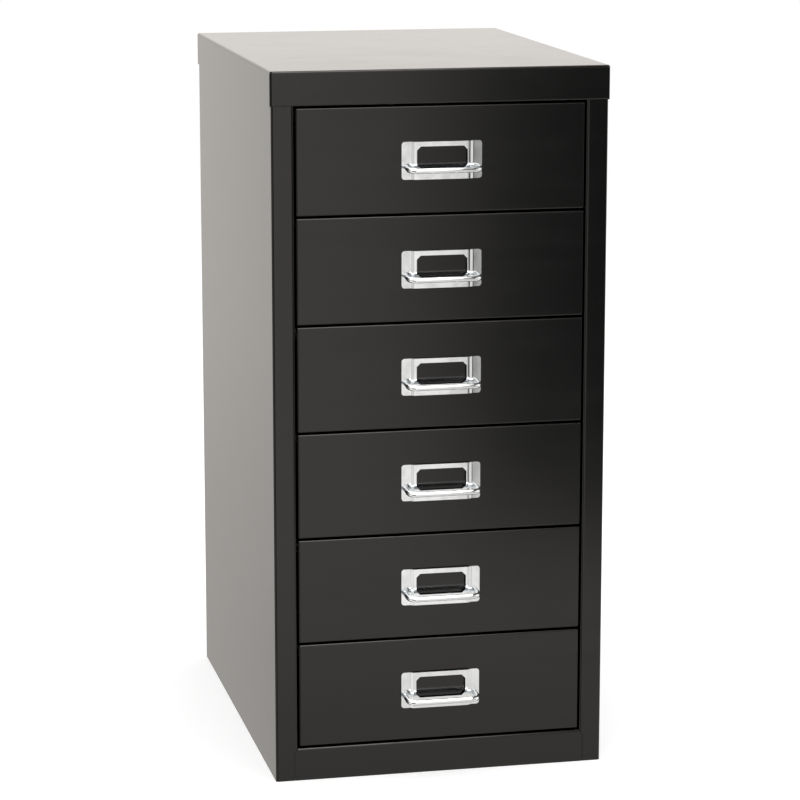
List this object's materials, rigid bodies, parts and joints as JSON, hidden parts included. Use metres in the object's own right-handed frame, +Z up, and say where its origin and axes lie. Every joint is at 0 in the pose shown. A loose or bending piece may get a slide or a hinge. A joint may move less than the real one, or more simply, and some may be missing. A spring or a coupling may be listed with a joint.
{
  "type": "multi-drawer cabinet",
  "caption": "Tall, narrow sheet-steel desk-side cabinet with a stack of equal shallow drawers, each with a chromed card frame and bow pull.",
  "frame": {"origin": "middle of the cabinet's underside, on the plane it stands on, midway between the side panels and midway between the front posts' faces and the rear flanges", "axes": "+X to the right seen from the front, +Y to the back, +Z up; the drawers open along -Y"},
  "size_m": [0.281, 0.3991, 0.59],
  "materials": {
    "outer_paint": "satin black baked enamel",
    "drawer_paint": "satin black baked enamel",
    "inner_paint": "satin black baked enamel, inside",
    "chrome": "bright chrome plate",
    "zinc": "zinc-plated steel"
  },
  "bodies": {
    "cabinet": {"top_cap": "outer_paint", "left_side_panel": "outer_paint", "right_side_panel": "outer_paint", "back_panel": "outer_paint", "base_pan": "inner_paint", "base_rail": "outer_paint", "header_rail": "inner_paint", "left_front_upright": "inner_paint", "left_rear_upright": "inner_paint", "right_front_upright": "inner_paint", "right_rear_upright": "inner_paint", "left_runner_1": "zinc", "left_runner_2": "zinc", "left_runner_3": "zinc", "left_runner_4": "zinc", "left_runner_5": "zinc", "left_runner_6": "zinc", "right_runner_1": "zinc", "right_runner_2": "zinc", "right_runner_3": "zinc", "right_runner_4": "zinc", "right_runner_5": "zinc", "right_runner_6": "zinc"},
    "drawer_1": {"drawer_1_tray": "drawer_paint", "drawer_1_front": "drawer_paint", "drawer_1_card_frame": "chrome", "drawer_1_pull": "chrome", "drawer_1_pull_nuts": "zinc"},
    "drawer_2": {"drawer_2_tray": "drawer_paint", "drawer_2_front": "drawer_paint", "drawer_2_card_frame": "chrome", "drawer_2_pull": "chrome", "drawer_2_pull_nuts": "zinc"},
    "drawer_3": {"drawer_3_tray": "drawer_paint", "drawer_3_front": "drawer_paint", "drawer_3_card_frame": "chrome", "drawer_3_pull": "chrome", "drawer_3_pull_nuts": "zinc"},
    "drawer_4": {"drawer_4_tray": "drawer_paint", "drawer_4_front": "drawer_paint", "drawer_4_card_frame": "chrome", "drawer_4_pull": "chrome", "drawer_4_pull_nuts": "zinc"},
    "drawer_5": {"drawer_5_tray": "drawer_paint", "drawer_5_front": "drawer_paint", "drawer_5_card_frame": "chrome", "drawer_5_pull": "chrome", "drawer_5_pull_nuts": "zinc"},
    "drawer_6": {"drawer_6_tray": "drawer_paint", "drawer_6_front": "drawer_paint", "drawer_6_card_frame": "chrome", "drawer_6_pull": "chrome", "drawer_6_pull_nuts": "zinc"}
  },
  "joints": [
    {"name": "drawer_1_slide", "type": "slide", "parent": "cabinet", "child": "drawer_1", "axis": [0, -1, 0], "range_m": [0, 0.2887]},
    {"name": "drawer_2_slide", "type": "slide", "parent": "cabinet", "child": "drawer_2", "axis": [0, -1, 0], "range_m": [0, 0.2887]},
    {"name": "drawer_3_slide", "type": "slide", "parent": "cabinet", "child": "drawer_3", "axis": [0, -1, 0], "range_m": [0, 0.2887]},
    {"name": "drawer_4_slide", "type": "slide", "parent": "cabinet", "child": "drawer_4", "axis": [0, -1, 0], "range_m": [0, 0.2887]},
    {"name": "drawer_5_slide", "type": "slide", "parent": "cabinet", "child": "drawer_5", "axis": [0, -1, 0], "range_m": [0, 0.2887]},
    {"name": "drawer_6_slide", "type": "slide", "parent": "cabinet", "child": "drawer_6", "axis": [0, -1, 0], "range_m": [0, 0.2887]}
  ]
}
